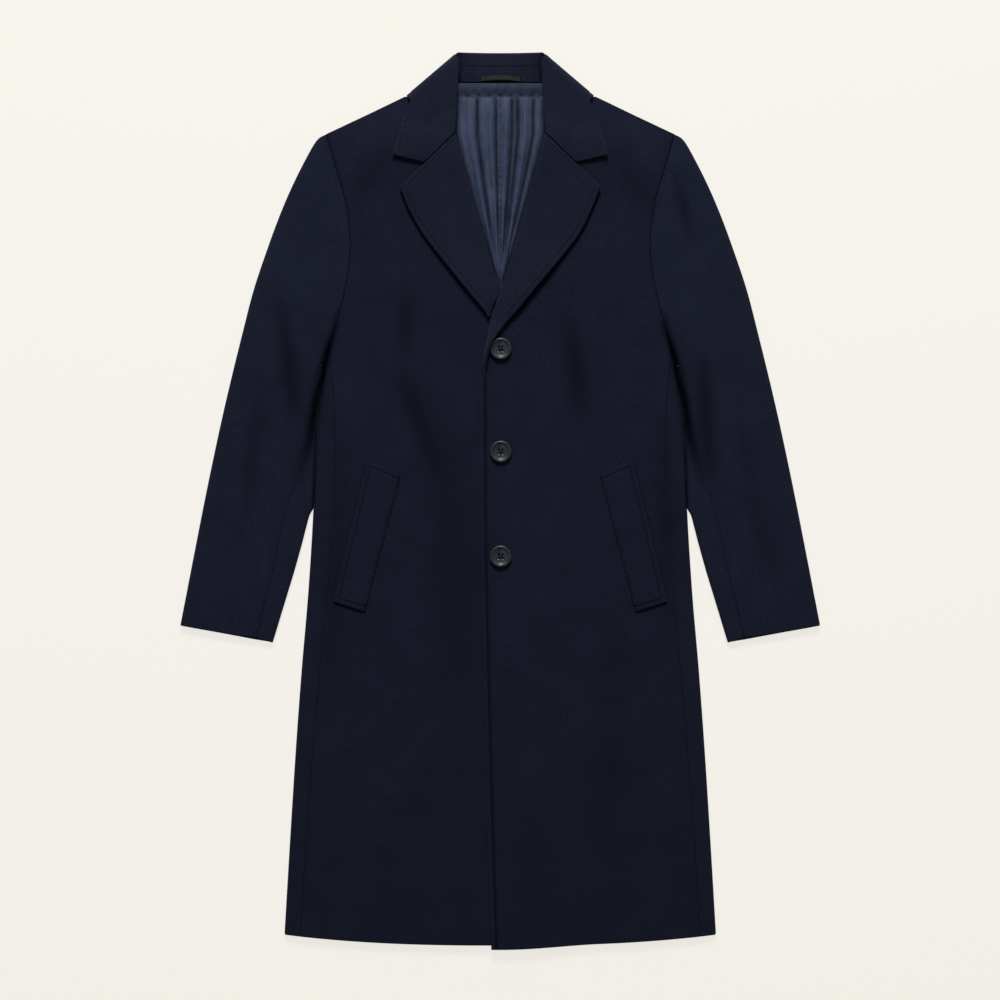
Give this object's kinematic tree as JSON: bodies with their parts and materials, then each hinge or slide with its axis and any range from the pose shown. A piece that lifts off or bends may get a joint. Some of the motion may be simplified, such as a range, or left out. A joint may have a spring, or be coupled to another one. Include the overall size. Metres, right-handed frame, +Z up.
{
  "type": "wool overcoat",
  "caption": "Long single-breasted wool overcoat with notched lapels, slanted welt pockets and a lined back neck, laid flat on its back.",
  "frame": {"origin": "middle of the coat's box in plan, on the surface that it lies on", "axes": "+X to the wearer's left, +Y from hem to collar, +Z up from the surface, out of the fronts"},
  "size_m": [0.82, 1.148, 0.0234],
  "materials": {
    "wool": "napped wool, dark navy",
    "facing": "napped wool, dark navy, pressed",
    "lining": "satin lining, blue-grey",
    "tape": "satin tape, charcoal",
    "button": "satin polish, horn-like"
  },
  "bodies": {
    "root": {"back_left": "wool", "back_right": "wool", "side_left": "wool", "side_right": "wool", "front_left": "wool", "front_right": "wool", "sleeve_top_left": "wool", "sleeve_top_right": "wool", "sleeve_under_left": "wool", "sleeve_under_right": "wool", "facing_left": "facing", "facing_right": "facing", "pocket_welt_left": "wool", "pocket_welt_right": "wool", "collar_leaf": "facing", "collar_stand": "facing", "back_lining": "lining", "hanger_loop": "tape", "button_1": "button", "button_2": "button", "button_3": "button"}
  },
  "joints": []
}
